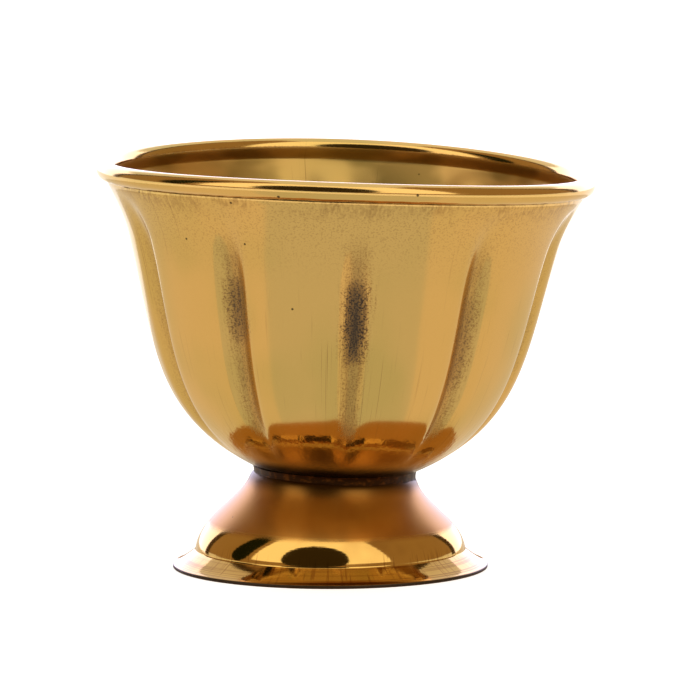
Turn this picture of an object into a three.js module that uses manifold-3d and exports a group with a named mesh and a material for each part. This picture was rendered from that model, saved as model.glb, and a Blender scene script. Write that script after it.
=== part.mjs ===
// Small footed brass bowl: a fluted sheet-brass bowl with a rolled rim, soldered onto a spun bell foot.
// Millimetres, +Z up. The origin is on the table, below the centre of the whole bowl.
import * as THREE from "three";
import { mergeVertices } from "three/addons/utils/BufferGeometryUtils.js";
import Module from "manifold-3d";

const wasm = await Module();
wasm.setup();

// ---- Driving dimensions ----------------------------------------------------------------------------

const clearance = 0.3; // gap left between two pieces that touch on the real bowl

// Foot, outside sizes
const footWall = 0.7; // thickness of the foot's wall
const footHeight = 19.6; // table to the flat top that carries the bowl
const flangeRadius = 32.5; // edge of the flange, which is flat below and slopes above
const flangeEdge = 0.7; // thickness of the flange at its edge
const shoulderRadius = 27.9; // foot of the bell's wall, where the flange begins
const shoulderRise = 3.6; // height at which the bell's wall turns into the flange's slope
const neckRadius = 17.4; // outside radius at the top of the bell
const neckBend = 1.3; // bend radius between the neck and the flat top, on the wall's middle line
const neckAngle = -69; // slopes of the bell's wall in degrees from level: at the neck,
const shoulderAngle = -84; // at the shoulder,
const coveAngle = -40; // where the flange's slope begins
const rimAngle = -12; // and where it reaches the edge
const neckPullShare = 0.38; // how far each slope is held, as shares of the height it belongs to
const shoulderPullShare = 0.42;
const covePullShare = 0.45;

// Bowl, outside sizes; heights are measured from the bowl's flat seat
const bowlSheet = 0.8; // thickness of the bowl's metal
const seatRadius = 16.3; // flat bottom of the bowl
const rimRadius = 51.35; // outermost line of the rolled rim
const bowlHeight = 61.2; // seat to the middle of the rolled rim
const flareReach = 6.85; // the round belly ends and the flare begins this far inside the rim's edge
const flareHeight = 12.8; // and this far below the middle of the rim
const beadRadius = 1.95; // outside radius of the roll
const rollGap = 0.35; // open slit between the roll's cut edge and the wall
const tuckInset = 0.7; // the tuck under the roll starts this far inside the roll's centre
const tuckDrop = 2.6; // and this far below it
const seatAngle = 24; // slopes of the wall in degrees from level: where it leaves the seat,
const bellyAngle = 75; // at the top of the belly,
const flareAngle = 60; // and just under the rim
const seatPullShare = 0.86; // how far each slope is held, as shares of the stretch it belongs to
const bellyPullShare = 0.48;
const flarePullShare = 0.33;
const tuckPullShare = 0.25;

// Flutes pressed into the wall
const fluteCount = 10;
const fluteDepth = 2.4; // depth of a crease below the lobes beside it
const fluteSharpness = 8; // power of the cosine: higher is a narrower crease
const flutePhase = 4.0; // degrees from -Y towards +X to the nearest crease
const fluteBottom = 3.5; // a crease starts this far above the seat
const fluteRise = 16.5; // and takes this much height to reach its full depth
const fluteTopGap = 3.7; // it ends this far below the middle of the rim
const fluteFall = 17.5; // and takes this much height to run out

// Hand-made departures from a true circle and axis
const rimWave = 0.75; // the rim is this much higher front and back, and lower at the sides
const topLean = THREE.MathUtils.degToRad(2.0); // lean to +X of the foot's top and of the bowl on it
const bowlShift = 0.4; // the bowl's axis is this far to +X of the foot's axis at the joint

// Solder between bowl and foot
const solderGap = 0.9; // height between the foot's flat top and the bowl's seat
const solderInset = 0.8; // the solder's outside lies this far inside the neck's outside
const solderWidth = 1.6; // and it reaches this far in from there

// Facets
const bowlColumns = 8 * fluteCount;
const footColumns = 48;
const wireSides = 8;
const bellySteps = 11;

// ---- Sizes that follow -------------------------------------------------------------------------------

const bellyRadius = rimRadius - flareReach;
const bellyHeight = bowlHeight - flareHeight;
const fluteTop = bowlHeight - fluteTopGap;
const seatHeight = footHeight + solderGap;
const creaseTurn = THREE.MathUtils.degToRad(flutePhase);

// ---- Colours -----------------------------------------------------------------------------------------

const brass = (color, roughness) =>
  new THREE.MeshStandardMaterial({ color, roughness, metalness: 1 });
const bowlBrass = brass("#cda254", 0.24);
const footBrass = brass("#c08a3c", 0.18);
const wireBrass = brass("#b9954f", 0.4);
const darkSolder = brass("#3a2514", 0.55);

// ---- Helpers -----------------------------------------------------------------------------------------

// Cubic curve from one point to another, leaving and arriving at angles given in degrees from +X.
function swing(from, fromAngle, fromPull, to, toAngle, toPull) {
  const a = THREE.MathUtils.degToRad(fromAngle);
  const b = THREE.MathUtils.degToRad(toAngle);
  return new THREE.CubicBezierCurve(
    from,
    new THREE.Vector2(from.x + fromPull * Math.cos(a), from.y + fromPull * Math.sin(a)),
    new THREE.Vector2(to.x - toPull * Math.cos(b), to.y - toPull * Math.sin(b)),
    to,
  );
}

// Points of a row of curves, each with its own number of steps, without doubled joints.
function pointsAlong(pieces) {
  const points = [pieces[0][0].getPoint(0)];
  for (const [curve, steps] of pieces) {
    points.push(...curve.getPoints(steps).slice(1));
  }
  return points;
}

// A line moved sideways: a positive distance moves it to its right-hand side as it is walked along.
function offsetLine(line, distance) {
  return line.map((point, i) => {
    const before = line[Math.max(i - 1, 0)];
    const after = line[Math.min(i + 1, line.length - 1)];
    const along = new THREE.Vector2().subVectors(after, before).normalize();
    if (point.x === 0) along.set(Math.sign(along.x), 0);
    return new THREE.Vector2(point.x + distance * along.y, point.y - distance * along.x);
  });
}

// Sheet metal spun about the axis: the middle line, which starts on the axis, thickened to each side.
// userData.middle gives the height on the middle line for each point of the outline.
// The first of its columns stands at the turn given in radians.
function spunSheet(middle, thickness, columns, turn = 0) {
  const right = offsetLine(middle, thickness / 2);
  const left = offsetLine(middle, -thickness / 2);
  const geometry = new THREE.LatheGeometry([...right, ...left.toReversed()], columns, turn);
  geometry.userData.middle = [...middle, ...middle.toReversed()].map((point) => point.y);
  return geometry.rotateX(Math.PI / 2);
}

// A closed outline spun about the axis.
function spunRing(outline, columns, turn = 0) {
  const geometry = new THREE.LatheGeometry([...outline, outline[0]], columns, turn);
  return geometry.rotateX(Math.PI / 2);
}

// 0 below the first value, 1 above the second, smooth between them.
const ease = (value, low, high) => THREE.MathUtils.smoothstep(value, low, high);

// How far a crease is pressed in at a height on the wall and an angle about the axis.
function creaseDepth(height, angle) {
  const rise = ease(height, fluteBottom, fluteBottom + fluteRise);
  const fall = 1 - ease(height, fluteTop - fluteFall, fluteTop);
  const across = 0.5 * (1 + Math.cos(fluteCount * (angle - creaseTurn)));
  return fluteDepth * Math.sqrt(Math.min(rise, fall)) * Math.pow(across, fluteSharpness);
}

// Presses the flutes into a spun sheet, then bends the upper wall and rim into a slight wave.
function pressAndWave(geometry) {
  const { middle } = geometry.userData;
  const position = geometry.getAttribute("position");
  for (let i = 0; i < position.count; i += 1) {
    const point = new THREE.Vector3().fromBufferAttribute(position, i);
    const radius = Math.hypot(point.x, point.y);
    if (radius < seatRadius / 2) continue;
    const angle = Math.atan2(point.x, -point.y);
    const height = middle ? middle[i % middle.length] : bowlHeight;
    const pressed = radius - creaseDepth(height, angle);
    point.x *= pressed / radius;
    point.y *= pressed / radius;
    point.z += rimWave * ease(height, bellyHeight / 2, bowlHeight) * Math.cos(2 * angle);
    position.setXYZ(i, point.x, point.y, point.z);
  }
  return geometry;
}

function solidOf(mesh) {
  mesh.updateMatrixWorld(true);
  const bare = mesh.geometry.clone().applyMatrix4(mesh.matrixWorld);
  bare.deleteAttribute("normal");
  bare.deleteAttribute("uv");
  const merged = mergeVertices(bare, 1e-3);
  return new wasm.Manifold(
    new wasm.Mesh({
      numProp: 3,
      vertProperties: merged.getAttribute("position").array,
      triVerts: new Uint32Array(merged.index.array),
    }),
  );
}

function geometryOf(solid) {
  const { vertProperties, triVerts } = solid.getMesh();
  const geometry = new THREE.BufferGeometry();
  geometry.setAttribute("position", new THREE.BufferAttribute(vertProperties, 3));
  geometry.setIndex(new THREE.BufferAttribute(triVerts, 1));
  return geometry;
}

function piece(name, geometry, material) {
  const mesh = new THREE.Mesh(geometry, material);
  mesh.name = name;
  return mesh;
}

// Leans a spun piece to +X about the table, from not at all at its shoulder to fully at its top.
function leanUpper(geometry) {
  const position = geometry.getAttribute("position");
  const axis = new THREE.Vector3(0, 1, 0);
  for (let i = 0; i < position.count; i += 1) {
    const point = new THREE.Vector3().fromBufferAttribute(position, i);
    point.applyAxisAngle(axis, topLean * ease(point.z, shoulderRise, footHeight - neckBend));
    position.setXYZ(i, point.x, point.y, point.z);
  }
  return geometry;
}

// ---- Bowl --------------------------------------------------------------------------------------------

const bowlHalf = bowlSheet / 2;
const rollRadius = beadRadius - bowlHalf; // the roll's radius on the sheet's middle line
const rollCentre = new THREE.Vector2(rimRadius - beadRadius, bowlHeight);

// Middle line of the bowl's sheet: flat seat, belly, flare, a small tuck under the rim, and the roll,
// which goes over the top, down the outside and back to a slit's width from the wall.
function bowlLine() {
  const centre = new THREE.Vector2(0, bowlHalf);
  const seatEdge = new THREE.Vector2(seatRadius, bowlHalf);
  const bellyTop = new THREE.Vector2(bellyRadius - bowlHalf, bellyHeight);
  const underRim = new THREE.Vector2(rollCentre.x - tuckInset, rollCentre.y - tuckDrop);
  const rollStart = new THREE.Vector2(rollCentre.x - rollRadius, rollCentre.y);
  const rollEnd = -Math.acos(rollGap / rollRadius);
  const seatPull = seatPullShare * (bellyRadius - seatRadius);
  const bellyPull = bellyPullShare * bellyHeight;
  const flarePull = flarePullShare * (underRim.y - bellyTop.y);
  const tuckPull = tuckPullShare * tuckDrop;
  const belly = swing(seatEdge, seatAngle, seatPull, bellyTop, bellyAngle, bellyPull);
  const flare = swing(bellyTop, bellyAngle, flarePull, underRim, flareAngle, flarePull);
  const tuck = swing(underRim, flareAngle, tuckPull, rollStart, 90, tuckPull);
  const roll = new THREE.EllipseCurve(
    rollCentre.x, rollCentre.y, rollRadius, rollRadius, Math.PI, rollEnd, true,
  );
  const seat = new THREE.LineCurve(centre, seatEdge);
  return pointsAlong([[seat, 1], [belly, bellySteps], [flare, 5], [tuck, 2], [roll, 7]]);
}

function makeBowlShell() {
  const sheet = spunSheet(bowlLine(), bowlSheet, bowlColumns, creaseTurn);
  return piece("bowl_shell", pressAndWave(sheet), bowlBrass);
}

// Core wire inside the roll: it keeps the rim round.
function makeRimWire() {
  const wireRadius = beadRadius - bowlSheet - clearance;
  const circle = new THREE.Path();
  circle.absarc(rollCentre.x, rollCentre.y, wireRadius, 0, 2 * Math.PI);
  const outline = circle.getPoints(wireSides).slice(0, wireSides);
  return piece("rim_wire", pressAndWave(spunRing(outline, bowlColumns, creaseTurn)), wireBrass);
}

// ---- Foot --------------------------------------------------------------------------------------------

const footHalf = footWall / 2;

// Middle line of the foot's wall: flat top, neck bend and bell, down to the shoulder.
function footLine() {
  const top = footHeight - footHalf;
  const centre = new THREE.Vector2(0, top);
  const topEdge = new THREE.Vector2(neckRadius - footHalf - neckBend, top);
  const neckTop = new THREE.Vector2(neckRadius - footHalf, top - neckBend);
  const shoulder = new THREE.Vector2(shoulderRadius - footHalf, shoulderRise);
  const drop = neckTop.y - shoulder.y;
  const neckPull = neckPullShare * drop;
  const shoulderPull = shoulderPullShare * drop;
  const bend = swing(topEdge, 0, neckBend / 2, neckTop, neckAngle, neckBend / 2);
  const bell = swing(neckTop, neckAngle, neckPull, shoulder, shoulderAngle, shoulderPull);
  return pointsAlong([[new THREE.LineCurve(centre, topEdge), 1], [bend, 3], [bell, 12]]);
}

// Outline of the foot: the hollow, the flat underside, the flange's sloping top and the wall's outside.
function footOutline() {
  const inside = offsetLine(footLine(), footHalf);
  const outside = offsetLine(footLine(), -footHalf);
  const corner = outside.at(-1);
  const edge = new THREE.Vector2(flangeRadius, flangeEdge);
  const covePull = covePullShare * (corner.y - edge.y);
  const slope = swing(corner, coveAngle, covePull, edge, rimAngle, covePull).getPoints(4);
  const underside = new THREE.LineCurve(
    new THREE.Vector2(inside.at(-1).x, 0),
    new THREE.Vector2(flangeRadius, 0),
  );
  const outer = [...outside, ...slope.slice(1)];
  return [...inside, ...underside.getPoints(3), ...outer.toReversed()];
}

function makeFootShell() {
  const geometry = new THREE.LatheGeometry(footOutline(), footColumns).rotateX(Math.PI / 2);
  return piece("foot_shell", leanUpper(geometry), footBrass);
}

// ---- Solder ------------------------------------------------------------------------------------------

// Everything between the axis and a sheet's right-hand side, with the clearance added: what the solder
// keeps away from.
function keepOut(middle, thickness) {
  const side = offsetLine(middle, thickness / 2 + clearance);
  const toAxis = (point) => (point.x > 0 ? [new THREE.Vector2(0, point.y)] : []);
  const outline = [...toAxis(side[0]), ...side, ...toAxis(side.at(-1))];
  const geometry = new THREE.LatheGeometry(outline, footColumns);
  return piece("keep_out", geometry.rotateX(Math.PI / 2));
}

// A ring that fills the open wedge between the neck's bend and the bowl's underside, cut back from both.
// It lies halfway between the foot's axis and the bowl's.
function makeSolderRing() {
  const outside = neckRadius - solderInset;
  const inside = outside - solderWidth;
  const low = footHeight - neckBend;
  const high = seatHeight + bellyHeight / 2; // well above the underside that cuts it back
  const outline = [
    new THREE.Vector2(inside, low),
    new THREE.Vector2(outside, low),
    new THREE.Vector2(outside, high),
    new THREE.Vector2(inside, high),
  ];
  const blank = piece("blank", spunRing(outline, footColumns));
  blank.position.x = bowlShift / 2;
  const seatAndBelly = bowlLine().slice(0, bellySteps + 2);
  const bowlRoom = keepOut(seatAndBelly, bowlSheet);
  bowlRoom.position.set(bowlShift, 0, seatHeight);
  const footRoom = keepOut(footLine().toReversed(), footWall);
  const ring = solidOf(blank).subtract(solidOf(bowlRoom)).subtract(solidOf(footRoom));
  return piece("solder_ring", geometryOf(ring), darkSolder);
}

// ---- Assembly ----------------------------------------------------------------------------------------

function makeAssembly() {
  const bowl = new THREE.Group();
  bowl.add(makeBowlShell(), makeRimWire());
  bowl.position.set(bowlShift, 0, seatHeight);
  const leaning = new THREE.Group();
  leaning.add(bowl, makeSolderRing());
  leaning.rotation.y = topLean;
  const assembly = new THREE.Group();
  assembly.add(leaning, makeFootShell());
  const box = new THREE.Box3().setFromObject(assembly, true);
  const centre = box.getCenter(new THREE.Vector3());
  assembly.position.set(-centre.x, -centre.y, -box.min.z);
  return assembly;
}

export default makeAssembly();
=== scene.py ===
"""A small footed brass bowl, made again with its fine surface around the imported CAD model.

The bowl is one sheet of brass with ten flutes pressed into it and a rolled rim. It is soldered, a little
crooked, onto a spun bell foot. Sizes inside the classes are millimetres; finished meshes are metres.
"""

import logging
import math
from dataclasses import dataclass, field, fields
from enum import Enum

import bpy
import numpy as np
from bpy.types import Material, Mesh, Node, NodeSocket, NodeTree, Object
from mathutils import Matrix, Vector


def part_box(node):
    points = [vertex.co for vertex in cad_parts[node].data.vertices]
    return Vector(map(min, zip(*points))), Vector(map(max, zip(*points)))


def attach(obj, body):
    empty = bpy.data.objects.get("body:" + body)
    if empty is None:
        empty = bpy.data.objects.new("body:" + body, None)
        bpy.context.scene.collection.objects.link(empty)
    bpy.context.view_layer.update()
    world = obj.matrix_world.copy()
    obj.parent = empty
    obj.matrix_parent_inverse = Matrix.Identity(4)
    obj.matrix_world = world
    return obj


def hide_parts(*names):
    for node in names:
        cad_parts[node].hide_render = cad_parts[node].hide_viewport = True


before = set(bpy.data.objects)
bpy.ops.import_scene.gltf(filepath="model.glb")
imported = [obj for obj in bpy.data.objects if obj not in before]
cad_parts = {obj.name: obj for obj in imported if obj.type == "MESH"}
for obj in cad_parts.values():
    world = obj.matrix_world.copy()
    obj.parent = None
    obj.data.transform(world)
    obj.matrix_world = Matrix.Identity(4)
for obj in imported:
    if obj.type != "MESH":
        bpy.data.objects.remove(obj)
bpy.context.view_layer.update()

MM = 0.001
BODY = "root"

Term = float | NodeSocket

log = logging.getLogger("footed_bowl")


# ---- Shared helpers ----


def linear(hex_colour: str) -> tuple[float, float, float, float]:
    """Turn an sRGB hex colour into linear RGBA.

    Args:
        hex_colour: A colour such as "#c9a052".

    Returns:
        Red, green, blue and alpha, all linear.
    """
    digits = hex_colour.lstrip("#")
    channels = [int(digits[i:i + 2], 16) / 255 for i in (0, 2, 4)]
    low = 0.04045
    red, green, blue = (c / 12.92 if c <= low else ((c + 0.055) / 1.055) ** 2.4 for c in channels)
    return (red, green, blue, 1.0)


def add_node(tree: NodeTree, kind: str, inputs: dict | None = None, **settings) -> Node:
    """Add a node to a tree, apply its settings, and fill or link its inputs.

    Args:
        tree: The node tree that gets the node.
        kind: The node's type name.
        inputs: Input name or index, to a value or to another node's output socket.
        **settings: Properties set on the node itself.

    Returns:
        The new node.
    """
    node = tree.nodes.new(kind)
    for name, value in settings.items():
        setattr(node, name, value)
    for key, value in (inputs or {}).items():
        if isinstance(value, NodeSocket):
            tree.links.new(value, node.inputs[key])
        else:
            node.inputs[key].default_value = value
    return node


def swing(start: Vector, start_angle: float, start_pull: float,
          end: Vector, end_angle: float, end_pull: float, steps: int) -> list[Vector]:
    """Sample a cubic curve that leaves and arrives at given slopes.

    Args:
        start: First point, as radius and height.
        start_angle: Slope at the start, in degrees from level.
        start_pull: How far the start slope is held.
        end: Last point.
        end_angle: Slope at the end, in degrees from level.
        end_pull: How far the end slope is held.
        steps: Number of steps along the curve.

    Returns:
        The points, both ends included.
    """
    a, b = math.radians(start_angle), math.radians(end_angle)
    handle_a = start + start_pull * Vector((math.cos(a), math.sin(a)))
    handle_b = end - end_pull * Vector((math.cos(b), math.sin(b)))
    points = []
    for i in range(steps + 1):
        t = i / steps
        s = 1 - t
        points.append(s ** 3 * start + 3 * s * s * t * handle_a + 3 * s * t * t * handle_b + t ** 3 * end)
    return points


def straight(start: Vector, end: Vector, steps: int) -> list[Vector]:
    """Sample a straight line, both ends included."""
    return [start.lerp(end, i / steps) for i in range(steps + 1)]


def joined(*pieces: list[Vector]) -> list[Vector]:
    """Join rows of points end to end, without doubling the points where they meet."""
    points = [pieces[0][0]]
    for piece in pieces:
        points.extend(piece[1:])
    return points


def travelled(points: np.ndarray) -> np.ndarray:
    """Give the distance along a row of points at each of them."""
    return np.concatenate([[0.0], np.cumsum(np.linalg.norm(np.diff(points, axis=0), axis=1))])


def ease(value: np.ndarray, low: float, high: float) -> np.ndarray:
    """Go smoothly from 0 at the low value to 1 at the high value."""
    share = np.clip((value - low) / (high - low), 0.0, 1.0)
    return share * share * (3 - 2 * share)


# ---- Spun sheet ----


def store(mesh: Mesh, name: str, values: np.ndarray) -> None:
    """Store one number or one vector for each point of a mesh.

    Args:
        mesh: The mesh.
        name: The attribute's name.
        values: One value, or one row of three, for each point.
    """
    kind, key = ("FLOAT_VECTOR", "vector") if values.ndim == 2 else ("FLOAT", "value")
    layer = mesh.attributes.new(name, kind, "POINT")
    layer.data.foreach_set(key, values.astype(np.float32).ravel())


def sideways(line: list[Vector], distance: float) -> np.ndarray:
    """Move a line sideways.

    Args:
        line: Points as radius and height; the first may lie on the axis.
        distance: How far to the right-hand side, seen along the line.

    Returns:
        The moved points, one row each.
    """
    points = np.array(line)
    along = np.gradient(points, axis=0)
    if points[0, 0] == 0:
        along[0] = (1.0, 0.0)
    along /= np.linalg.norm(along, axis=1)[:, None]
    return points + distance * np.stack([along[:, 1], -along[:, 0]], axis=1)


@dataclass(frozen=True)
class Lathe:
    """Spins outlines about the Z axis into closed meshes, in millimetres.

    Each point carries "rise", the height it had before anything was pressed, and "meridian", a vector of
    where it is round the axis and how far along the outline it is, for patterns that follow the surface.

    Attributes:
        columns: Number of facets round the axis.
        pattern_radius: Radius at which a pattern that runs round the piece has its true size.
        first_turn: Turn of the first column, in degrees from -Y towards +X.
    """

    columns: int
    pattern_radius: float
    first_turn: float = 0.0

    def turns(self) -> np.ndarray:
        """Give the turn of each column, in radians."""
        return math.radians(self.first_turn) + np.arange(self.columns) * 2 * math.pi / self.columns

    def sheet(self, name: str, line: list[Vector], thickness: float, marks: dict[str, np.ndarray]
              ) -> Object:
        """Spin a sheet of metal from the middle line of its wall, which starts on the axis.

        Args:
            name: The object's name.
            line: The middle line.
            thickness: Thickness of the metal.
            marks: Attribute name to a value for each point of the line's right side, then of its left.

        Returns:
            The new object.
        """
        middle = np.array(line)
        run = travelled(middle)
        outline = np.concatenate([sideways(line, thickness / 2), sideways(line, -thickness / 2)[::-1]])
        marks = {"rise": np.concatenate([middle[:, 1], middle[::-1, 1]]), **marks}
        return self.spin(name, outline, np.concatenate([run, run[::-1]]), marks, closed=False)

    def ring(self, name: str, outline: np.ndarray, marks: dict[str, np.ndarray]) -> Object:
        """Spin a closed outline, walked with the metal on its left.

        Args:
            name: The object's name.
            outline: Points as radius and height.
            marks: Attribute name to a value for each point.

        Returns:
            The new object.
        """
        return self.spin(name, outline, travelled(outline), {"rise": outline[:, 1], **marks}, closed=True)

    def spin(self, name: str, outline: np.ndarray, run: np.ndarray, marks: dict[str, np.ndarray],
             closed: bool) -> Object:
        """Spin an outline that is closed, or that starts and ends on the axis.

        Args:
            name: The object's name.
            outline: Points as radius and height.
            run: Distance along the outline for each point.
            marks: Attribute name to a value for each point.
            closed: Whether the outline closes on itself.

        Returns:
            The new object.
        """
        kept = slice(None) if closed else slice(1, -1)
        ends = [] if closed else [0, -1]
        rings = len(outline[kept])
        turn = self.turns()
        x = np.outer(np.sin(turn), outline[kept, 0]).ravel()
        y = np.outer(-np.cos(turn), outline[kept, 0]).ravel()
        z = np.tile(outline[kept, 1], self.columns)
        points = np.stack([x, y, z], axis=1)
        points = np.concatenate([points, [[0.0, 0.0, outline[end, 1]] for end in ends]]) if ends else points

        mesh = bpy.data.meshes.new(name)
        mesh.from_pydata(points.tolist(), [], self.faces(rings, closed))
        mesh.polygons.foreach_set("use_smooth", [True] * len(mesh.polygons))

        def spread(values: np.ndarray) -> np.ndarray:
            """Repeat a value for each outline point round all columns, then add those of the ends."""
            return np.concatenate([np.tile(values[kept], self.columns), values[ends]])

        for key, values in marks.items():
            store(mesh, key, spread(values))
        around = np.concatenate([np.repeat(turn, rings), np.zeros(len(ends))])
        store(mesh, "turn", around)
        reach = np.where(np.arange(len(points)) < rings * self.columns, self.pattern_radius, 0.0)
        place = [reach * np.sin(around), -reach * np.cos(around), spread(run)]
        store(mesh, "meridian", np.stack(place, axis=1))

        blank = bpy.data.objects.new(name, mesh)
        bpy.context.scene.collection.objects.link(blank)
        return blank

    def faces(self, rings: int, closed: bool) -> list[tuple[int, ...]]:
        """List the faces of a spun grid.

        Args:
            rings: Number of rings of points.
            closed: Whether the last ring joins the first; otherwise both ends close on the axis.

        Returns:
            Point numbers of each face, outward side up.
        """
        low_end = self.columns * rings
        faces: list[tuple[int, ...]] = []
        for column in range(self.columns):
            here = column * rings
            there = (column + 1) % self.columns * rings
            steps = [(ring, ring + 1) for ring in range(rings - 1)]
            if closed:
                steps.append((rings - 1, 0))
            else:
                faces.append((low_end, there, here))
                faces.append((here + rings - 1, there + rings - 1, low_end + 1))
            faces.extend((here + a, there + a, there + b, here + b) for a, b in steps)
        return faces


def settle(blank: Object, name: str, place: Matrix) -> Object:
    """Turn a blank with its modifiers into a finished plain object in metres.

    Args:
        blank: The blank in millimetres; it is removed.
        name: The finished object's name.
        place: Where the blank stands, in millimetres.

    Returns:
        The finished object, at the origin, with its place in its mesh.
    """
    depsgraph = bpy.context.evaluated_depsgraph_get()
    mesh = bpy.data.meshes.new_from_object(blank.evaluated_get(depsgraph), depsgraph=depsgraph)
    mesh.name = name
    mesh.transform(Matrix.Scale(MM, 4) @ place)
    mesh.update()
    bpy.data.objects.remove(blank)
    finished = bpy.data.objects.new(name, mesh)
    bpy.context.scene.collection.objects.link(finished)
    return finished


def hand_in(piece: Object, node: str) -> Object:
    """Let a finished piece stand for a CAD node, whose part it hides, and ride on the body.

    Args:
        piece: The finished piece.
        node: The CAD node that it replaces.

    Returns:
        The same piece.
    """
    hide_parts(node)
    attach(piece, BODY)
    return piece


# ---- Flute press ----


@dataclass(frozen=True)
class FlutePress:
    """Geometry Nodes that press flutes into a spun sheet and wave its rim. Heights are rises.

    Attributes:
        flutes: Number of flutes round the bowl.
        depth: How deep a crease is below its lobes.
        sharpness: Power of the cosine across a flute; higher is a narrower crease.
        phase: Degrees from -Y towards +X to the nearest crease.
        bottom: Where the creases begin.
        low_full: Where they have reached their full depth.
        high_full: Where they begin to run out.
        top: Where they end.
        wave: How far the rim is lifted front and back, and lowered at the sides.
        wave_from: Where the wave begins.
        wave_full: Where it is full.
        dent: Height of the shallow unevenness left by the press and the hand.
        dent_size: Distance between such uneven places.
        hem_wander: How far the roll's cut edge wanders up and down.
        hem_scale: How often it wanders, for each millimetre.
    """

    flutes: int
    depth: float
    sharpness: float
    phase: float
    bottom: float
    low_full: float
    high_full: float
    top: float
    wave: float
    wave_from: float
    wave_full: float
    dent: float
    dent_size: float
    hem_wander: float
    hem_scale: float = 0.35

    def values(self) -> dict[str, float]:
        """Give the value of each named input of the tree, such as "Low Full"; the phase is in radians."""
        names = [item.name for item in fields(self)]
        sizes = {name.replace("_", " ").title(): float(getattr(self, name)) for name in names}
        return {**sizes, "Phase": math.radians(self.phase)}

    def tree(self, material: Material) -> NodeTree:
        """Build the node tree.

        Args:
            material: The finish that the pressed sheet gets.

        Returns:
            The tree, with one named input for each size.
        """
        tree = bpy.data.node_groups.new("flute_press", "GeometryNodeTree")
        tree.interface.new_socket("Geometry", in_out="INPUT", socket_type="NodeSocketGeometry")
        tree.interface.new_socket("Geometry", in_out="OUTPUT", socket_type="NodeSocketGeometry")
        for name in self.values():
            tree.interface.new_socket(name, in_out="INPUT", socket_type="NodeSocketFloat")
        given = add_node(tree, "NodeGroupInput").outputs

        def calculate(operation: str, *terms: Term) -> NodeSocket:
            """Add a math node and give its result."""
            return add_node(tree, "ShaderNodeMath", dict(enumerate(terms)), operation=operation).outputs[0]

        def combine(operation: str, inputs: dict) -> NodeSocket:
            """Add a vector math node and give its result."""
            return add_node(tree, "ShaderNodeVectorMath", inputs, operation=operation).outputs[0]

        def fade(value: NodeSocket, start: Term,
                 end: Term) -> NodeSocket:
            """Go smoothly from 0 at the start to 1 at the end."""
            return add_node(tree, "ShaderNodeMapRange", {0: value, 1: start, 2: end},
                            interpolation_type="SMOOTHSTEP").outputs[0]

        position = add_node(tree, "GeometryNodeInputPosition").outputs[0]
        rise, hem, turn = (add_node(tree, "GeometryNodeInputNamedAttribute", {"Name": name}).outputs[0]
                           for name in ("rise", "hem", "turn"))

        # Across a flute: a raised cosine to a power, 1 in the crease and 0 on the lobe.
        flute_turn = calculate("MULTIPLY", calculate("SUBTRACT", turn, given["Phase"]), given["Flutes"])
        raised = calculate("MULTIPLY_ADD", calculate("COSINE", flute_turn), 0.5, 0.5)
        across = calculate("POWER", raised, given["Sharpness"])

        # Up the wall: nothing at either end, full depth in the middle.
        run_in = fade(rise, given["Bottom"], given["Low Full"])
        run_out = calculate("SUBTRACT", 1.0, fade(rise, given["High Full"], given["Top"]))
        along = calculate("SQRT", calculate("MINIMUM", run_in, run_out))
        crease = calculate("MULTIPLY", calculate("MULTIPLY", across, along), given["Depth"])

        # Unevenness pushes the wall in, never out, and fades out at the seat and at the rim.
        bumps = add_node(tree, "ShaderNodeTexNoise", {
            "Vector": position, "Scale": calculate("DIVIDE", 1.0, given["Dent Size"]),
            "Detail": 1.0}).outputs[0]
        ends_free = calculate("MULTIPLY", fade(rise, 1.0, given["Bottom"]),
                              calculate("SUBTRACT", 1.0, fade(rise, given["Top"], given["Wave Full"])))
        pressed = calculate("MULTIPLY_ADD", calculate("MULTIPLY", bumps, ends_free), given["Dent"], crease)
        level = combine("MULTIPLY", {0: position, 1: (1.0, 1.0, 0.0)})
        outward = combine("NORMALIZE", {0: level})
        press = combine("SCALE", {0: outward, "Scale": calculate("MULTIPLY", pressed, -1.0)})

        # The rim's wave, and the wandering cut edge of the roll.
        saddle = calculate("COSINE", calculate("MULTIPLY", turn, 2.0))
        wave = calculate("MULTIPLY", calculate("MULTIPLY", saddle, given["Wave"]),
                         fade(rise, given["Wave From"], given["Wave Full"]))
        rough_cut = add_node(tree, "ShaderNodeTexNoise", {
            "Vector": position, "Scale": given["Hem Scale"], "Detail": 3.0})
        wander = calculate("MULTIPLY", calculate("SUBTRACT", rough_cut.outputs[0], 0.5), given["Hem Wander"])
        lift = add_node(tree, "ShaderNodeCombineXYZ", {"Z": calculate("MULTIPLY_ADD", wander, hem, wave)})
        shift = combine("ADD", {0: press, 1: lift.outputs[0]})

        marked = add_node(tree, "GeometryNodeStoreNamedAttribute", {
            "Geometry": given["Geometry"], "Name": "crease", "Value": across}, domain="POINT")
        moved = add_node(tree, "GeometryNodeSetPosition", {
            "Geometry": marked.outputs[0], "Offset": shift})
        real = add_node(tree, "GeometryNodeRealizeInstances", {"Geometry": moved.outputs[0]})
        dressed = add_node(tree, "GeometryNodeSetMaterial", {
            "Geometry": real.outputs[0], "Material": material})
        add_node(tree, "NodeGroupOutput", {0: dressed.outputs[0]})
        return tree

    def press(self, blank: Object, material: Material) -> None:
        """Put the press on a blank as a modifier.

        Args:
            blank: The spun sheet, in millimetres.
            material: The finish that it gets.
        """
        tree = self.tree(material)
        modifier = blank.modifiers.new("flute_press", "NODES")
        modifier.node_group = tree
        given = [item for item in tree.interface.items_tree if item.in_out == "INPUT"]
        identifiers = {item.name: item.identifier for item in given}
        for name, value in self.values().items():
            modifier[identifiers[name]] = value


# ---- Finishes ----


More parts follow.
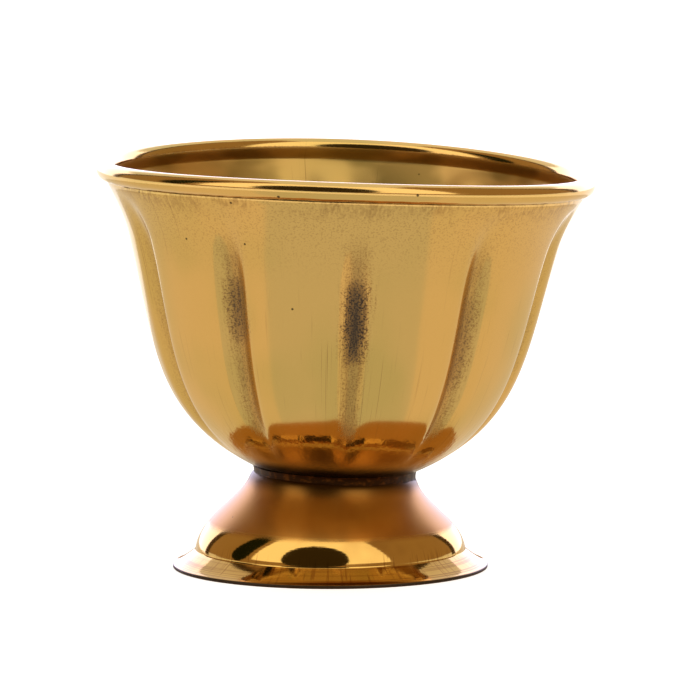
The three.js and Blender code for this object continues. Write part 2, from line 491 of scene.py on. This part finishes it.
class Painter:
    """Adds shading nodes to one material and gives back their results."""

    def __init__(self, name: str) -> None:
        """Start a metal with the given name."""
        self.material = bpy.data.materials.new(name)
        self.material.use_nodes = True
        self.tree = self.material.node_tree
        self.shader = self.tree.nodes["Principled BSDF"]

    def mark(self, name: str) -> NodeSocket:
        """Read a number that the piece's points carry."""
        return add_node(self.tree, "ShaderNodeAttribute", attribute_name=name).outputs["Fac"]

    def calculate(self, operation: str, first: Term,
                  *others: Term) -> NodeSocket:
        """Work through some terms in order, with each result kept between 0 and 1."""
        for other in others:
            first = add_node(self.tree, "ShaderNodeMath", {0: first, 1: other},
                             operation=operation, use_clamp=True).outputs[0]
        return first

    def fade(self, value: NodeSocket, start: float, end: float, most: float = 1.0
             ) -> NodeSocket:
        """Go smoothly from 0 at the start value to the most at the end value."""
        return add_node(self.tree, "ShaderNodeMapRange", {0: value, 1: start, 2: end, 4: most},
                        interpolation_type="SMOOTHSTEP").outputs[0]

    def grain(self, around: float, along: float, detail: float = 2.0, shift: float = 0.0
              ) -> NodeSocket:
        """Make noise that follows the surface.

        Args:
            around: Size of a grain round the axis, in millimetres.
            along: Size of a grain along the outline, in millimetres.
            detail: Octaves of finer noise.
            shift: Moves the noise, so that two grains of one size differ.

        Returns:
            The noise, between 0 and 1.
        """
        place = add_node(self.tree, "ShaderNodeAttribute", attribute_name="meridian").outputs["Vector"]
        scaled = add_node(self.tree, "ShaderNodeMapping", {
            "Vector": place, "Location": (shift, 0.0, shift), "Scale": (1 / around, 1 / around, 1 / along)})
        return add_node(self.tree, "ShaderNodeTexNoise", {
            "Vector": scaled.outputs[0], "Scale": 1.0, "Detail": detail}).outputs[0]

    def specks(self, spacing: float, radius: float, share: float) -> NodeSocket:
        """Scatter small round specks.

        Args:
            spacing: Mean distance between places, in millimetres.
            radius: Radius of a speck, in millimetres.
            share: Share of the places that have one.

        Returns:
            1 in a speck, 0 elsewhere.
        """
        place = add_node(self.tree, "ShaderNodeAttribute", attribute_name="meridian").outputs["Vector"]
        cells = add_node(self.tree, "ShaderNodeTexVoronoi", {"Vector": place, "Scale": 1 / spacing})
        near = self.fade(cells.outputs["Distance"], radius / spacing, 0.6 * radius / spacing)
        chosen = self.fade(cells.outputs["Color"], 1 - share, 1.001 - share)
        return self.calculate("MULTIPLY", near, chosen)

    def tint(self, below: NodeSocket | str, *layers: tuple[str, Term]
             ) -> NodeSocket:
        """Lay colours over another, in order.

        Args:
            below: The colour so far, or the hex of a plain one.
            *layers: Each colour that goes on top, and how much of it shows.

        Returns:
            The mixed colour.
        """
        below = linear(below) if isinstance(below, str) else below
        for colour, amount in layers:
            below = add_node(self.tree, "ShaderNodeMix", {0: amount, 6: below, 7: linear(colour)},
                             data_type="RGBA").outputs[2]
        return below

    def relief(self, height: NodeSocket, depth: float, below: NodeSocket | None = None
               ) -> NodeSocket:
        """Turn a height between 0 and 1 into bumps of a depth in millimetres, over earlier bumps."""
        inputs = {"Strength": 1.0, "Distance": depth * MM, "Height": height}
        if below:
            inputs["Normal"] = below
        return add_node(self.tree, "ShaderNodeBump", inputs).outputs[0]

    def finish(self, **values: Term | tuple) -> Material:
        """Fill the shader's inputs, named with underscores for spaces, and give the material."""
        for name, value in values.items():
            socket = self.shader.inputs[name.replace("_", " ").title().replace("Ior", "IOR")]
            if isinstance(value, NodeSocket):
                self.tree.links.new(value, socket)
            else:
                socket.default_value = value
        return self.material


@dataclass(frozen=True)
class PressedBrass:
    """Sheet brass, pressed, polished by hand and long in use.

    The polish leaves a warm, slightly hazy mirror. Cloth never reaches into the creases or under the
    rolled edge, so brown-black tarnish stays there, streaked up and down by rubbing.

    Attributes:
        brass: The clean metal.
        olive: Metal dulled by handling.
        shade: Dark patches painted on the inside, standing for the room that it reflects.
        tarnish: Thin tarnish.
        soot: Thick tarnish in the creases, and painted shade at the seat and the joint.
        haze: Roughness of the polished wall.
        inside_haze: How much rougher the inside is.
    """

    brass: str = "#d9b068"
    olive: str = "#c7a95f"
    shade: str = "#75602c"
    tarnish: str = "#8a6238"
    soot: str = "#160f0a"
    haze: float = 0.13
    inside_haze: float = 0.13

    def make(self, height: float) -> Material:
        """Make the material.

        Args:
            height: Height of the rolled rim above the seat.

        Returns:
            The material.
        """
        paint = Painter("pressed_sheet_brass")
        fade, grain, calculate = paint.fade, paint.grain, paint.calculate
        rise, crease, stain, inner, hem, roll = (
            paint.mark(name) for name in ("rise", "crease", "stain", "inner", "hem", "roll"))
        outer = calculate("SUBTRACT", 1.0, inner)
        plain_wall = calculate("MULTIPLY", outer, calculate("SUBTRACT", 1.0, roll))

        # Large soft patches, and fine lines drawn up the wall by polishing.
        patches = grain(22.0, 30.0)
        strokes = grain(0.5, 14.0, shift=40.0)
        drawn_lines = calculate("MULTIPLY", fade(strokes, 0.62, 0.8, 0.2), plain_wall)
        scratches = calculate("MULTIPLY", fade(grain(0.28, 45.0, 1.0, shift=70.0), 0.68, 0.74),
                              fade(patches, 0.52, 0.6, 0.6))

        # Tarnish in the creases: a streaked middle, and grit round it.
        streaks = grain(0.45, 6.0, 4.0)
        grit = grain(0.35, 0.35, 1.0)
        ragged = add_node(paint.tree, "ShaderNodeMath", {0: streaks, 1: 0.8, 2: crease},
                          operation="MULTIPLY_ADD").outputs[0]
        middle = calculate("MULTIPLY", fade(ragged, 0.5, 1.5), stain, 0.8)
        round_it = calculate("MULTIPLY", fade(ragged, 0.42, 0.95), stain, fade(grit, 0.46, 0.64), 0.4)
        soil = calculate("ADD", middle, round_it)

        # Tarnish below the rolled edge: a thin, blotchy smudge, and sandy dots further down.
        blotches = fade(grain(7.0, 5.0, shift=21.0), 0.35, 0.62)
        ticks = grain(0.5, 1.5, 3.0, shift=9.0)
        smudge = calculate("MULTIPLY", plain_wall, fade(rise, height - 7.0, height - 2.8), blotches,
                           fade(ticks, 0.35, 0.65, 0.6), 0.75)
        sand = calculate("MULTIPLY", fade(grit, 0.52, 0.66), plain_wall,
                         fade(rise, height - 22.0, height - 5.0, 0.3))

        pits = calculate("MULTIPLY", paint.specks(3.5, 0.3, 0.25), 0.85)
        # Darker towards the seat: partly black tarnish, partly painted shade of the crevice between the bowl
        # and the foot.
        seat_shade_and_soot = calculate("MULTIPLY", outer, fade(rise, 4.6, 1.2, 0.75))
        # Painted reflection: dark patches on the inside stand for the room that the inside reflects.
        painted_inside_reflection = calculate("MULTIPLY", inner, fade(grain(16.0, 9.0, shift=33.0), 0.44, 0.62, 0.6))
        colour = paint.tint(
            self.brass,
            (self.olive, fade(patches, 0.4, 0.65, 0.7)),
            (self.tarnish, drawn_lines),
            (self.tarnish, smudge),
            (self.tarnish, scratches),
            (self.tarnish, sand),
            (self.tarnish, fade(soil, 0.0, 0.6, 0.75)),
            (self.soot, fade(soil, 0.35, 0.95, 0.92)),
            (self.soot, pits),
            (self.soot, fade(hem, 0.75, 0.98, 0.9)),
            (self.soot, seat_shade_and_soot),
            (self.shade, painted_inside_reflection),
        )

        orange_peel = calculate("MULTIPLY", grain(1.2, 1.4, 1.0), outer, fade(rise, 14.0, 9.0))
        bumps = paint.relief(orange_peel, 0.05)
        bumps = paint.relief(calculate("MULTIPLY", grain(60.0, 0.35, 3.0), inner), 0.004, bumps)
        bumps = paint.relief(calculate("MULTIPLY", strokes, plain_wall), 0.003, bumps)
        inside_haze = calculate("ADD", self.inside_haze, fade(rise, height - 16, height - 6, 0.17))
        haze = calculate("ADD", self.haze, fade(soil, 0.05, 0.6, 0.4),
                         calculate("MULTIPLY", outer, fade(rise, 8.0, 3.0, 0.1)),
                         calculate("MULTIPLY", inner, inside_haze))
        metal = calculate("SUBTRACT", 1.0, fade(soil, 0.3, 0.9, 0.6))
        return paint.finish(base_color=colour, metallic=metal, roughness=haze, normal=bumps)


@dataclass(frozen=True)
class SpunBrass:
    """Brass spun on a lathe: a bright mirror with fine rings from the tool and faint scratches across.

    The neck's orange-brown tint and the flange's brown rings are painted reflections. The flange's edge is
    black, partly tarnish and partly a painted contact shadow; the joint is black, partly tarnish and partly
    painted shade.
    """

    brass: str = "#d6ab5c"
    amber: str = "#a8671f"
    tarnish: str = "#8f5c2a"
    soot: str = "#140d09"
    haze: float = 0.07

    def make(self, height: float) -> Material:
        """Make the material.

        Args:
            height: Height of the foot.

        Returns:
            The material.
        """
        paint = Painter("spun_brass")
        fade, grain, calculate = paint.fade, paint.grain, paint.calculate
        rise, edge = paint.mark("rise"), paint.mark("edge")
        rings = grain(70.0, 0.3, 3.0)
        rubs = grain(0.4, 9.0, 2.0)
        low = fade(rise, 7.0, 3.6)
        flange = fade(rise, 3.8, 3.2)
        neck = fade(rise, 0.41 * height, 0.49 * height)
        colour = paint.tint(
            self.brass,
            (self.tarnish, fade(grain(9.0, 9.0), 0.45, 0.75, 0.35)),
            # Painted reflection: the flange's brown tint and brown rings stand for what the flange reflects.
            (self.tarnish, calculate("MULTIPLY", flange, 0.25)),
            (self.tarnish, calculate("MULTIPLY", flange, fade(rings, 0.48, 0.6, 0.6))),
            (self.tarnish, calculate("MULTIPLY", fade(rubs, 0.58, 0.66, 0.5), low)),
            # Painted reflection: the neck is tinted orange-brown for the bowl's underside that it reflects.
            (self.amber, calculate("MULTIPLY", neck, 0.75)),
            # Dark at the top of the neck: partly black tarnish, partly painted shade of the joint below the
            # bowl.
            (self.soot, fade(rise, 0.82 * height, 0.97 * height, 0.8)),
            # Black flange edge: partly tarnish, partly a painted contact shadow along the floor.
            (self.soot, fade(edge, 0.2, 0.8, 0.95)),
            (self.soot, calculate("MULTIPLY", paint.specks(3.0, 0.22, 0.12), 0.6)),
        )
        bumps = paint.relief(rings, 0.006)
        bumps = paint.relief(calculate("MULTIPLY", rubs, low), 0.006, bumps)
        metal = calculate("SUBTRACT", 1.0, fade(edge, 0.2, 0.9, 0.5))
        haze = calculate("ADD", self.haze, calculate("MULTIPLY", neck, 0.26), fade(edge, 0.2, 0.9, 0.4))
        return paint.finish(base_color=colour, metallic=metal, normal=bumps, roughness=haze)


@dataclass(frozen=True)
class SootySolder:
    """Soft solder, blackened by the torch: dark, lumpy, with a dull metallic glint."""

    dark: str = "#2c180a"
    brown: str = "#5c3412"

    def make(self) -> Material:
        """Make the material."""
        paint = Painter("sooty_solder")
        lumps = paint.grain(1.2, 0.8, 3.0)
        colour = paint.tint(self.dark, (self.brown, paint.fade(lumps, 0.45, 0.7, 0.6)))
        bumps = paint.relief(lumps, 0.06)
        return paint.finish(base_color=colour, metallic=1.0, roughness=0.45, normal=bumps)


@dataclass(frozen=True)
class DullWire:
    """Drawn brass wire that is never polished: brownish and matt."""

    clean: str = "#a8874a"
    dull: str = "#6d4f2a"

    def make(self) -> Material:
        """Make the material."""
        paint = Painter("drawn_brass_wire")
        colour = paint.tint(self.clean, (self.dull, paint.fade(paint.grain(2.0, 1.0), 0.4, 0.7, 0.6)))
        return paint.finish(base_color=colour, metallic=1.0, roughness=0.4)


# ---- Foot ----


@dataclass
class Foot:
    """The spun bell foot, whose upper part leans a little. Heights are above the table."""

    wall: float = 0.7
    flange_edge: float = 0.7
    shoulder_radius: float = 27.9
    shoulder_rise: float = 3.6
    neck_radius: float = 17.4
    height: float = 19.6
    neck_bend: float = 1.3
    neck_angle: float = -69.0
    shoulder_angle: float = -84.0
    cove_angle: float = -40.0
    rim_angle: float = -12.0
    neck_pull: float = 0.38
    shoulder_pull: float = 0.42
    cove_pull: float = 0.45
    lean: float = 2.0
    columns: int = 240
    pattern_radius: float = 25.0
    flange_radius: float = field(init=False)
    axis: float = field(init=False)

    def __post_init__(self) -> None:
        """Take the flange's size and the foot's place from the frame; the leaning top is not its widest."""
        low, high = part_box("foot_shell")
        self.flange_radius = (high.y - low.y) / 2 / MM
        self.axis = (low.x + high.x) / 2 / MM

    def line(self) -> list[Vector]:
        """Draw the wall's middle line, from the flat top down to the shoulder."""
        half = self.wall / 2
        top = self.height - half
        top_edge = Vector((self.neck_radius - half - self.neck_bend, top))
        neck_top = Vector((self.neck_radius - half, top - self.neck_bend))
        shoulder = Vector((self.shoulder_radius - half, self.shoulder_rise))
        drop = neck_top.y - shoulder.y
        return joined(
            straight(Vector((0, top)), top_edge, 6),
            swing(top_edge, 0, self.neck_bend / 2, neck_top, self.neck_angle, self.neck_bend / 2, 12),
            swing(neck_top, self.neck_angle, self.neck_pull * drop,
                  shoulder, self.shoulder_angle, self.shoulder_pull * drop, 90),
        )

    def outline(self) -> tuple[np.ndarray, np.ndarray]:
        """Draw the whole outline: the hollow, the flat underside, the edge, the slope and the outside.

        Returns:
            The outline, and for each of its points whether it lies on the flange's edge.
        """
        inside = sideways(self.line(), self.wall / 2)
        outside = sideways(self.line(), -self.wall / 2)
        corner = Vector(outside[-1])
        foot_edge = Vector((self.flange_radius, 0))
        slope_edge = Vector((self.flange_radius, self.flange_edge))
        round_off = 0.1 * self.flange_edge
        pull = self.cove_pull * (corner.y - slope_edge.y)
        slope = swing(corner, self.cove_angle, pull, slope_edge, self.rim_angle, pull, 24)
        underside = straight(Vector((inside[-1, 0], 0)), foot_edge - Vector((round_off, 0)), 10)
        edge = straight(foot_edge + Vector((0, round_off)), slope_edge - Vector((0, round_off)), 2)
        outline = np.concatenate([inside, underside, edge, slope[::-1][1:], outside[-2::-1]])
        on_edge = (outline[:, 0] > self.flange_radius - round_off / 2).astype(float)
        return outline, on_edge

    def lean_upper(self, blank: Object) -> None:
        """Lean the wall to +X about the table, from not at all at its shoulder to fully at its top."""
        for point in blank.data.vertices:
            share = float(ease(point.co.z, self.shoulder_rise, self.height - self.neck_bend))
            point.co = Matrix.Rotation(math.radians(self.lean) * share, 3, "Y") @ point.co

    def joint(self) -> Matrix:
        """Give the leaning frame that the solder and the bowl stand in, in millimetres."""
        return Matrix.Translation((self.axis, 0, 0)) @ Matrix.Rotation(math.radians(self.lean), 4, "Y")

    def build(self) -> Object:
        """Make the foot."""
        outline, edge = self.outline()
        marks = {"rise": outline[:, 1], "edge": edge}
        lathe = Lathe(self.columns, self.pattern_radius)
        blank = lathe.spin("foot_blank", outline, travelled(outline), marks, closed=False)
        blank.data.materials.append(SpunBrass().make(self.height))
        self.lean_upper(blank)
        piece = settle(blank, "spun_foot", Matrix.Translation((self.axis, 0, 0)))
        return hand_in(piece, "foot_shell")


# ---- Bowl ----


@dataclass(frozen=True)
class CreaseStain:
    """Tarnish left in one crease: how strong it is, its middle height and how far it reaches."""

    strength: float
    centre: float
    reach: float
    tail: float

    def at(self, rise: np.ndarray) -> np.ndarray:
        """Give the stain's strength at each height, with its weak tail down the crease."""
        core = self.strength * np.exp(-((rise - self.centre) / self.reach) ** 4)
        tail = self.tail * ease(rise, 6.0, 12.0) * (1 - ease(rise, self.centre + self.reach, 56.0))
        return np.maximum(core, tail)


@dataclass
class Bowl:
    """The fluted bowl with its rolled rim and the wire inside it. Heights are above its seat."""

    foot: Foot
    sheet: float = 0.8
    seat_radius: float = 16.3
    height: float = 61.2
    flare_reach: float = 6.85
    flare_height: float = 12.8
    bead_radius: float = 1.95
    roll_sag: float = 0.1
    roll_gap: float = 0.35
    tuck_inset: float = 0.7
    tuck_drop: float = 2.6
    seat_angle: float = 24.0
    belly_angle: float = 75.0
    flare_angle: float = 60.0
    seat_pull: float = 0.86
    belly_pull: float = 0.48
    flare_pull: float = 0.33
    tuck_pull: float = 0.25
    shift: float = 0.4
    solder_gap: float = 0.9
    clearance: float = 0.3
    flutes: int = 10
    columns_per_flute: int = 32
    flute_phase: float = 4.0
    stains: tuple[CreaseStain, ...] = (
        CreaseStain(1.0, 34.5, 9.5, 0.42), CreaseStain(0.55, 30.0, 14.0, 0.4),
        CreaseStain(0.4, 30.0, 12.0, 0.3), CreaseStain(0.6, 33.0, 9.0, 0.3),
        CreaseStain(0.5, 28.0, 12.0, 0.3), CreaseStain(0.75, 36.0, 8.0, 0.3),
        CreaseStain(0.4, 31.0, 11.0, 0.3), CreaseStain(0.55, 35.0, 9.0, 0.3),
        CreaseStain(0.35, 33.0, 10.0, 0.3), CreaseStain(0.68, 36.0, 8.5, 0.42),
    )
    margin: float = 0.01
    rim_radius: float = field(init=False)

    def __post_init__(self) -> None:
        """Take the mouth's size from the frame, and keep a hair inside it."""
        low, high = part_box("bowl_shell")
        self.rim_radius = (high.y - low.y) / 2 / MM - self.margin

    def roll_centre(self) -> Vector:
        """Give the middle of the roll, as radius and height; it sags so that its crown fits the frame."""
        return Vector((self.rim_radius - self.bead_radius, self.height - self.roll_sag))

    def line(self) -> tuple[list[Vector], int]:
        """Draw the wall's middle line.

        Returns:
            The line's points, and the number of them that come before the roll.
        """
        half = self.sheet / 2
        roll = self.bead_radius - half
        centre = self.roll_centre()
        belly_height = self.height - self.flare_height
        belly_radius = self.rim_radius - self.flare_reach
        seat_edge = Vector((self.seat_radius, half))
        belly_top = Vector((belly_radius - half, belly_height))
        under_rim = centre - Vector((self.tuck_inset, self.tuck_drop))
        roll_start = centre - Vector((roll, 0))
        flare_pull = self.flare_pull * (under_rim.y - belly_top.y)
        tuck_pull = self.tuck_pull * self.tuck_drop
        seat = straight(Vector((0, half)), seat_edge, 6)
        belly = swing(seat_edge, self.seat_angle, self.seat_pull * (belly_radius - self.seat_radius),
                      belly_top, self.belly_angle, self.belly_pull * belly_height, 84)
        flare = swing(belly_top, self.belly_angle, flare_pull, under_rim, self.flare_angle, flare_pull, 20)
        tuck = swing(under_rim, self.flare_angle, tuck_pull, roll_start, 90, tuck_pull, 6)
        roll_end = -math.acos(self.roll_gap / roll)
        angles = np.linspace(math.pi, roll_end, 28)
        curl = [centre + roll * Vector((math.cos(a), math.sin(a))) for a in angles]
        wall = joined(seat, belly, flare, tuck)
        return joined(wall, curl), len(wall)

    def press(self) -> FlutePress:
        """Set up the press that shapes the wall."""
        return FlutePress(
            flutes=self.flutes, depth=2.4, sharpness=8.0, phase=self.flute_phase, bottom=3.5, low_full=20.0,
            high_full=self.height - 21.2, top=self.height - 3.7, wave=0.75,
            wave_from=(self.height - self.flare_height) / 2, wave_full=self.height,
            dent=0.22, dent_size=26.0, hem_wander=0.5)

    def place(self) -> Matrix:
        """Give the bowl's place on the foot, in millimetres."""
        seat = Vector((self.shift, 0, self.foot.height + self.solder_gap))
        return self.foot.joint() @ Matrix.Translation(seat)

    def stain_points(self, blank: Object) -> None:
        """Give each point of the blank the strength of its own crease's stain."""
        count = len(blank.data.vertices)
        turn, rise = np.zeros(count, np.float32), np.zeros(count, np.float32)
        blank.data.attributes["turn"].data.foreach_get("value", turn)
        blank.data.attributes["rise"].data.foreach_get("value", rise)
        flute_turn = 2 * math.pi / self.flutes
        number = np.rint((turn - math.radians(self.flute_phase)) / flute_turn).astype(int) % self.flutes
        stain = np.zeros(count)
        for i, entry in enumerate(self.stains):
            stain = np.where(number == i, entry.at(rise), stain)
        store(blank.data, "stain", stain)

    def build(self) -> Object:
        """Make the bowl's shell."""
        line, wall = self.line()
        number = np.arange(len(line))
        in_roll = np.clip((number - wall) / (len(line) - 1 - wall), 0, 1)
        marks = {
            "inner": np.concatenate([np.zeros(len(line)), (number < wall)[::-1]]),
            "roll": np.concatenate([in_roll > 0, (in_roll > 0)[::-1]]),
            "hem": np.concatenate([in_roll ** 8, (in_roll ** 8)[::-1]]),
        }
        lathe = Lathe(self.flutes * self.columns_per_flute, 40.0, self.flute_phase)
        blank = lathe.sheet("bowl_blank", line, self.sheet, marks)
        self.stain_points(blank)
        self.press().press(blank, PressedBrass().make(self.height))
        return hand_in(settle(blank, "fluted_bowl", self.place()), "bowl_shell")

    def build_wire(self) -> Object:
        """Make the core wire that lies inside the roll."""
        radius = self.bead_radius - self.sheet - self.clearance
        angles = np.arange(14) * 2 * math.pi / 14
        circle = np.array(self.roll_centre()) + radius * np.stack([np.cos(angles), np.sin(angles)], axis=1)
        blank = Lathe(160, 49.0).ring("wire_blank", circle, {"rise": np.full(len(circle), self.height)})
        self.press().press(blank, DullWire().make())
        return hand_in(settle(blank, "rim_wire_ring", self.place()), "rim_wire")


# ---- Solder ----


@dataclass
class Solder:
    """The fillet of solder in the open wedge between the foot's neck and the bowl's underside.

    It bites a little into both. Each wave of its lumps has a count round the ring, a start in radians
    and a share.
    """

    foot: Foot
    bowl: Bowl
    inset: float = 0.8
    width: float = 1.6
    spread: float = 0.4
    lump: float = 0.06
    bite: float = 0.03
    waves: tuple[tuple[int, float, float], ...] = ((5, 0.0, 1.0), (13, 1.0, 1.0), (29, 2.0, 0.6))
    columns: int = 240
    pattern_radius: float = 17.0

    def build(self) -> Object:
        """Make the fillet, which touches both pieces and is hollow on its outside."""
        outside = self.foot.neck_radius - self.inset
        inside = outside - self.width
        offset = self.bowl.shift / 2
        under_bowl = sideways(self.bowl.line()[0][:60], self.bowl.sheet / 2)
        on_foot = sideways(self.foot.line()[:18], -self.foot.wall / 2)
        seat = self.foot.height + self.bowl.solder_gap
        radii = np.linspace(inside, outside + self.spread, 9)
        upper = np.interp(radii - offset, under_bowl[:, 0], under_bowl[:, 1]) + seat + self.bite
        lower_radii = np.linspace(inside, outside + 0.6 * self.spread, 9)
        lower = np.interp(lower_radii + offset, on_foot[:, 0], on_foot[:, 1]) - self.bite
        face = swing(Vector((lower_radii[-1], lower[-1])), 130, 0.4,
                     Vector((radii[-1], upper[-1])), 40, 0.4, 8)[1:-1]
        outline = np.concatenate([np.stack([lower_radii, lower], axis=1), np.array(face),
                                  np.stack([radii, upper], axis=1)[::-1]])
        blank = Lathe(self.columns, self.pattern_radius).ring("solder_blank", outline, {})
        blank.data.materials.append(SootySolder().make())
        for point in blank.data.vertices:
            turn = math.atan2(point.co.x, -point.co.y)
            swell = sum(share * math.sin(count * turn + start) for count, start, share in self.waves)
            out = float(ease(point.co.xy.length, outside - self.width / 2, outside))
            point.co.xy *= 1 + self.lump * out * swell / point.co.xy.length / 2
        place = self.foot.joint() @ Matrix.Translation((offset, 0, 0))
        return hand_in(settle(blank, "solder_fillet", place), "solder_ring")


# ---- Studio ----


class Seen(Enum):
    """What can see a card."""

    BY_ALL_LIGHT = "all light"
    BY_MIRRORS_ONLY = "mirrors only"


@dataclass(frozen=True)
class Card:
    """A glowing patch of a sphere round the bowl, which no camera sees.

    Attributes:
        name: The card's name.
        colour: Its colour.
        strength: Its brightness; 1 is as bright as the white floor.
        turn: First and last turn, in degrees from -Y towards +X.
        rise: First and last angle above the floor, in degrees.
        distance: Its distance, in metres.
        seen: What sees it.
        oval: Whether the patch is narrowed to an oval.
    """

    name: str
    colour: str
    strength: float
    turn: tuple[float, float]
    rise: tuple[float, float]
    distance: float = 2.6
    seen: Seen = Seen.BY_ALL_LIGHT
    oval: bool = False

    def build(self) -> Object:
        """Make the card."""
        across, up = 24, 16
        middle, half = sum(self.turn) / 2, (self.turn[1] - self.turn[0]) / 2
        points = []
        for j, rise in enumerate(np.radians(np.linspace(*self.rise, up + 1))):
            width = half * math.sqrt(1 - abs(0.98 * (2 * j / up - 1)) ** 3) if self.oval else half
            for turn in np.radians(np.linspace(middle - width, middle + width, across + 1)):
                points.append((self.distance * math.cos(rise) * math.sin(turn),
                               -self.distance * math.cos(rise) * math.cos(turn),
                               self.distance * math.sin(rise)))
        row = across + 1
        faces = [(j * row + i, j * row + i + 1, (j + 1) * row + i + 1, (j + 1) * row + i)
                 for j in range(up) for i in range(across)]
        return stand(self.name, points, faces, glow(self.name, self.colour, self.strength), self.seen)


@dataclass(frozen=True)
class Mat:
    """A glowing sector of a ring that lies on the floor, seen only by mirrors.

    Attributes:
        name: The mat's name.
        colour: Its colour.
        strength: Its brightness.
        turn: First and last turn, in degrees from -Y towards +X.
        reach: Inner and outer radius, in metres.
        lift: Height above the floor, in metres.
    """

    name: str
    colour: str
    strength: float
    turn: tuple[float, float]
    reach: tuple[float, float]
    lift: float = 0.0002

    def build(self) -> Object:
        """Make the mat."""
        steps = 48
        points = []
        for turn in np.radians(np.linspace(*self.turn, steps + 1)):
            for reach in self.reach:
                points.append((reach * math.sin(turn), -reach * math.cos(turn), self.lift))
        faces = [(2 * i, 2 * i + 1, 2 * i + 3, 2 * i + 2) for i in range(steps)]
        light = glow(self.name, self.colour, self.strength)
        return stand(self.name, points, faces, light, Seen.BY_MIRRORS_ONLY)


def glow(name: str, colour: str, strength: float) -> Material:
    """Make a plain glowing material.

    Args:
        name: The material's name.
        colour: Its colour.
        strength: Its brightness.

    Returns:
        The material.
    """
    material = bpy.data.materials.new(name)
    material.use_nodes = True
    tree = material.node_tree
    tree.nodes.remove(tree.nodes["Principled BSDF"])
    light = add_node(tree, "ShaderNodeEmission", {"Color": linear(colour), "Strength": strength})
    tree.links.new(light.outputs[0], tree.nodes["Material Output"].inputs["Surface"])
    return material


def stand(name: str, points: list[tuple], faces: list[tuple], material: Material, seen: Seen
          ) -> Object:
    """Put a card into the studio.

    Args:
        name: The card's name.
        points: Its points, in metres.
        faces: Its faces.
        material: Its material.
        seen: What sees it.

    Returns:
        The card.
    """
    mesh = bpy.data.meshes.new(name)
    mesh.from_pydata(points, [], faces)
    mesh.materials.append(material)
    card = bpy.data.objects.new(name, mesh)
    bpy.context.scene.collection.objects.link(card)
    card.visible_camera = False
    if seen is Seen.BY_MIRRORS_ONLY:
        card.visible_diffuse = False
        card.visible_shadow = False
    return card


@dataclass
class Studio:
    """Pale floor, soft light, reflecting cards and the camera. Sizes are metres."""

    distance: float = 1.5065
    height: float = 0.22224
    aside: float = 0.00085
    pitch: float = 6.7126
    lens: float = 378.65
    cards: tuple[Card | Mat, ...] = (
        Card("dim_room", "#a88a62", 1.06, (-130, 130), (4, 74)),
        Card("window", "#fff6e6", 1.6, (-72, 54), (14, 74), 2.5),
        Card("dark_stand", "#463a22", 0.7, (-45, 17), (3, 60), 2.4, oval=True),
        Card("dark_curtain", "#24280f", 0.7, (-97, -77), (6, 60), 2.4, oval=True),
        Card("left_edge", "#6a5636", 0.6, (-134, -127), (0, 60), 2.5, Seen.BY_MIRRORS_ONLY),
        Card("right_edge", "#6a5636", 0.6, (127, 134), (0, 60), 2.5, Seen.BY_MIRRORS_ONLY),
        Card("backdrop", "#cacdee", 3.8, (130, 230), (-0.5, 30), 2.6, Seen.BY_MIRRORS_ONLY),
        # Painted shade: a glowing orange ring round the foot, seen only by mirrors, stands for the shaded
        # floor and the foot under the bowl.
        Mat("underside_shade_mat", "#c88a40", 0.85, (0, 360), (0.028, 0.0445)),
        Mat("warm_mat", "#fff2dc", 0.92, (40, 320), (0.0445, 0.30)),
        # Painted shadow: a darker, cooler sector in front, seen only by mirrors, stands for a shadow on the
        # floor in front of the bowl.
        Mat("front_shadow_mat", "#f2f0e2", 0.86, (-40, 40), (0.0445, 0.30)),
    )

    def camera(self) -> None:
        """Place the camera."""
        data = bpy.data.cameras.new("camera")
        data.lens = self.lens
        data.sensor_width = 36.0
        data.clip_end = 50.0
        camera = bpy.data.objects.new("camera", data)
        camera.location = (self.aside, -self.distance, self.height)
        camera.rotation_euler = (math.radians(90 - self.pitch), 0, 0)
        bpy.context.scene.collection.objects.link(camera)
        bpy.context.scene.camera = camera

    def floor(self) -> None:
        """Lay the pale floor, which glows so that shadows stay faint."""
        paint = Painter("white_floor")
        material = paint.finish(base_color=linear("#d8d8d8"), roughness=0.9)
        paint.shader.inputs["Emission Color"].default_value = (1, 1, 1, 1)
        paint.shader.inputs["Emission Strength"].default_value = 0.75
        half = 7.0
        points = [(-half, -half, 0), (half, -half, 0), (half, half, 0), (-half, half, 0)]
        floor = stand("white_floor", points, [(0, 1, 2, 3)], material, Seen.BY_ALL_LIGHT)
        floor.visible_camera = True

    def light(self) -> None:
        """Fill the studio with even white light."""
        scene = bpy.context.scene
        scene.view_settings.view_transform = "Standard"
        scene.world = bpy.data.worlds.new("studio")
        scene.world.use_nodes = True
        scene.world.node_tree.nodes["Background"].inputs["Color"].default_value = (1, 1, 1, 1)
        scene.world.node_tree.nodes["Background"].inputs["Strength"].default_value = 1.0
        for card in self.cards:
            card.build()

    def build(self) -> None:
        """Set up the studio."""
        self.camera()
        self.floor()
        self.light()


def main() -> None:
    """Build the pieces in order."""
    Studio().build()
    foot = Foot()
    bowl = Bowl(foot)
    solder = Solder(foot, bowl)
    for piece in (foot.build(), bowl.build(), bowl.build_wire(), solder.build()):
        log.info("%s: %d faces", piece.name, len(piece.data.polygons))


if __name__ == "__main__":
    logging.basicConfig(level=logging.INFO)
    main()
